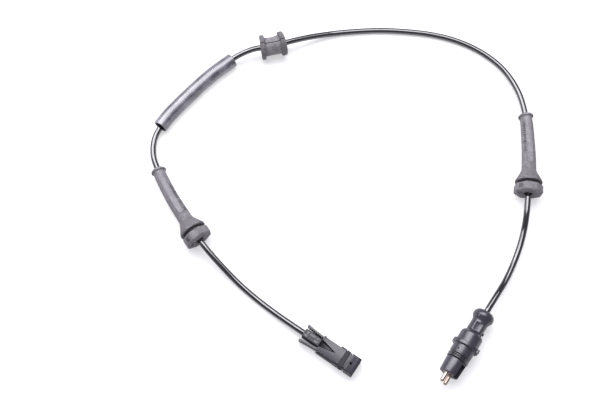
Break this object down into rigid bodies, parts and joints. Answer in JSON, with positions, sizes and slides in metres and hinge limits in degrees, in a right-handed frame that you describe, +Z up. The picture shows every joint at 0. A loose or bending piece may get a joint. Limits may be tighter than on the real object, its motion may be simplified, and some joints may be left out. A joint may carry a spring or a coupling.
{
  "type": "abs wheel speed sensor",
  "caption": "Flat plug-in wheel speed sensor head on a round cable with rubber grommets and a loose hose, ending in a round keyed pin plug.",
  "frame": {"origin": "on the supporting plane, under the middle of the sensor head", "axes": "+X along the sensor head towards its sensing tip, +Z up from the surface that the part lies on; the plug at the cable's other end points to -Y"},
  "size_m": [0.3301, 0.3091, 0.0228],
  "materials": {
    "head_plastic": "satin moulded black-grey plastic",
    "overmould_plastic": "matt moulded dark grey plastic",
    "seal_rubber": "black rubber",
    "bobbin_plastic": "plain natural plastic",
    "copper_winding": "enamelled copper wire, drawn as one wound body",
    "pole_iron": "plain soft iron",
    "magnet_ferrite": "dark sintered magnet",
    "tinned_terminal": "tinned metal",
    "white_insulation": "plain core insulation",
    "black_insulation": "plain core insulation",
    "cable_jacket": "glossy black jacket",
    "grommet_rubber": "matt mid-grey rubber",
    "hose_plastic": "satin dark grey hose",
    "plug_plastic": "satin black plastic",
    "contact_metal": "bright gold-coloured contact"
  },
  "bodies": {
    "root": {"sensor_housing": "head_plastic", "head_seal": "seal_rubber", "cable_end_overmould": "overmould_plastic", "coil_bobbin": "bobbin_plastic", "coil_winding": "copper_winding", "pole_piece": "pole_iron", "magnet": "magnet_ferrite", "head_terminal_1": "tinned_terminal", "head_terminal_2": "tinned_terminal", "head_wire_1": "black_insulation", "head_wire_2": "white_insulation", "cable": "cable_jacket", "large_grommet_1": "grommet_rubber", "protective_hose": "hose_plastic", "small_grommet": "grommet_rubber", "large_grommet_2": "grommet_rubber", "rear_boot": "plug_plastic", "plug_body": "plug_plastic", "plug_seal": "seal_rubber", "contact_pin_1": "contact_metal", "contact_pin_2": "contact_metal", "contact_retainer": "bobbin_plastic", "plug_wire_1": "black_insulation", "plug_wire_2": "white_insulation"}
  },
  "joints": []
}
